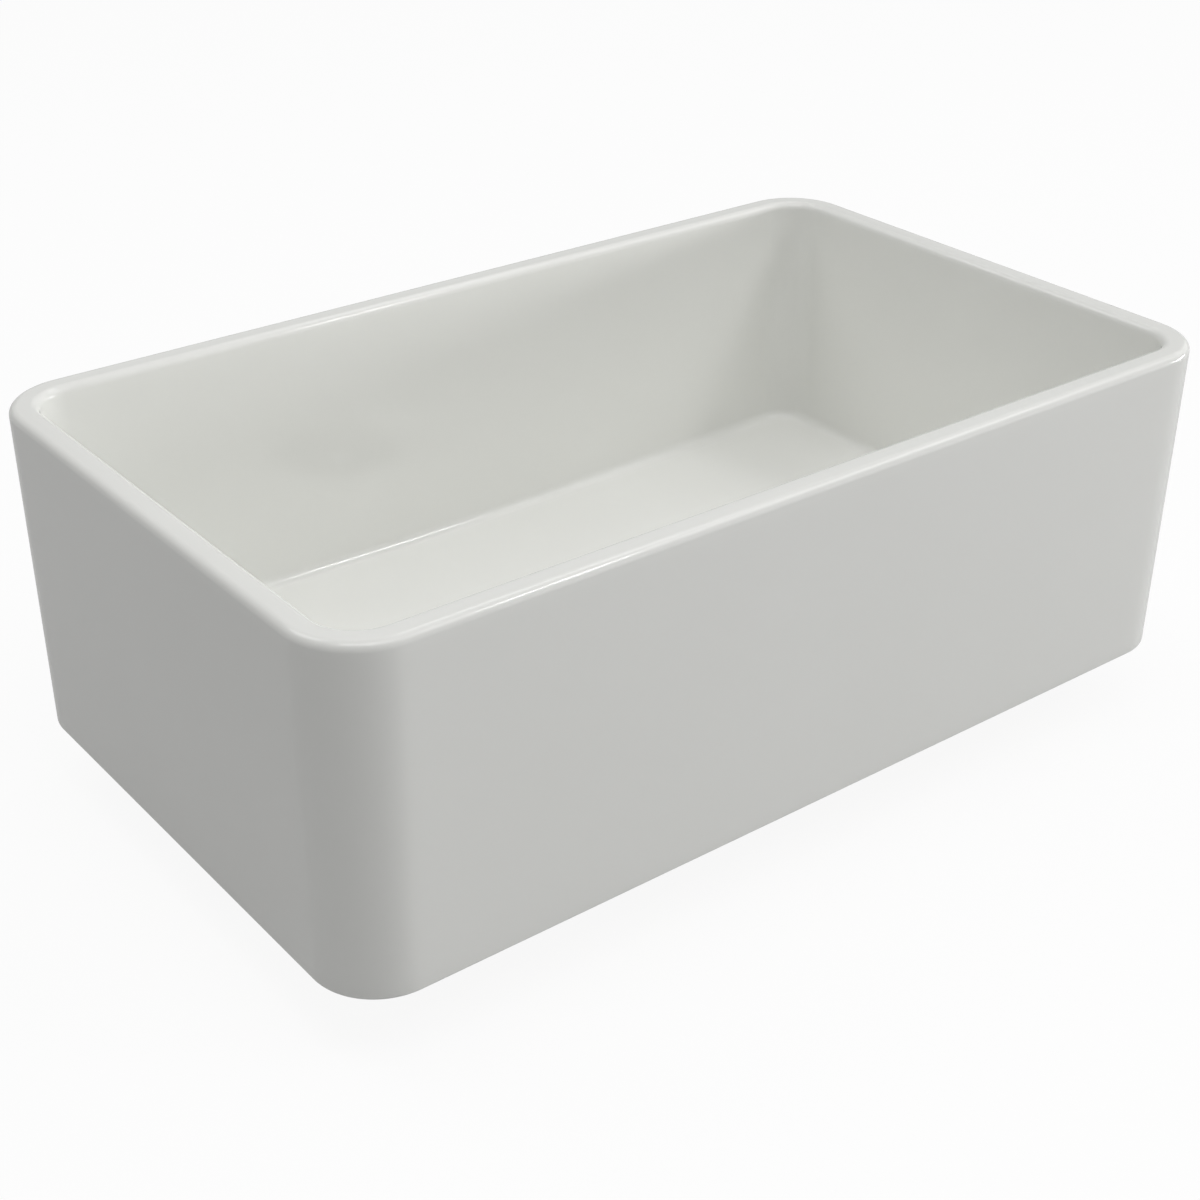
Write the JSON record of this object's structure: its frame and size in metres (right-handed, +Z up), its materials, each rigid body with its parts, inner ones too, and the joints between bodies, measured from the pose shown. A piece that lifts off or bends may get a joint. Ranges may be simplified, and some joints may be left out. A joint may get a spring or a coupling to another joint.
{
  "type": "farmhouse apron front sink",
  "caption": "Rectangular one-piece glazed fireclay apron sink with rounded corners, a sloping floor and a lift-out basket strainer waste in its middle.",
  "frame": {"origin": "middle of the bowl's base plane, on the drain's axis, where the cabinet's support frame carries the sink", "axes": "+X along the sink to the right, -Y out of the apron front, +Z up"},
  "size_m": [0.76, 0.455, 0.3042],
  "materials": {
    "glazed_fireclay": "gloss white glaze over fireclay",
    "brushed_steel": "satin stainless steel",
    "polished_steel": "polished",
    "black_rubber": "matt",
    "grey_foam": "closed-cell foam",
    "fibre_board": "pressed fibre",
    "zinc_alloy": "plain cast zinc alloy",
    "white_nylon": "natural nylon"
  },
  "bodies": {
    "sink": {"fireclay_bowl": "glazed_fireclay", "strainer_body": "brushed_steel", "top_seal": "grey_foam", "bottom_seal": "black_rubber", "friction_washer": "fibre_board", "lock_nut": "zinc_alloy", "coupling_washer": "white_nylon", "coupling_nut": "zinc_alloy"},
    "basket": {"basket_cup": "brushed_steel", "basket_stopper": "black_rubber", "stopper_washer": "polished_steel", "basket_post": "polished_steel", "basket_knob": "polished_steel", "post_nut": "polished_steel", "post_guide": "white_nylon"}
  },
  "joints": [
    {"name": "basket_lift", "type": "slide", "parent": "sink", "child": "basket", "axis": [0, 0, 1], "range_m": [0, 0.29]}
  ]
}
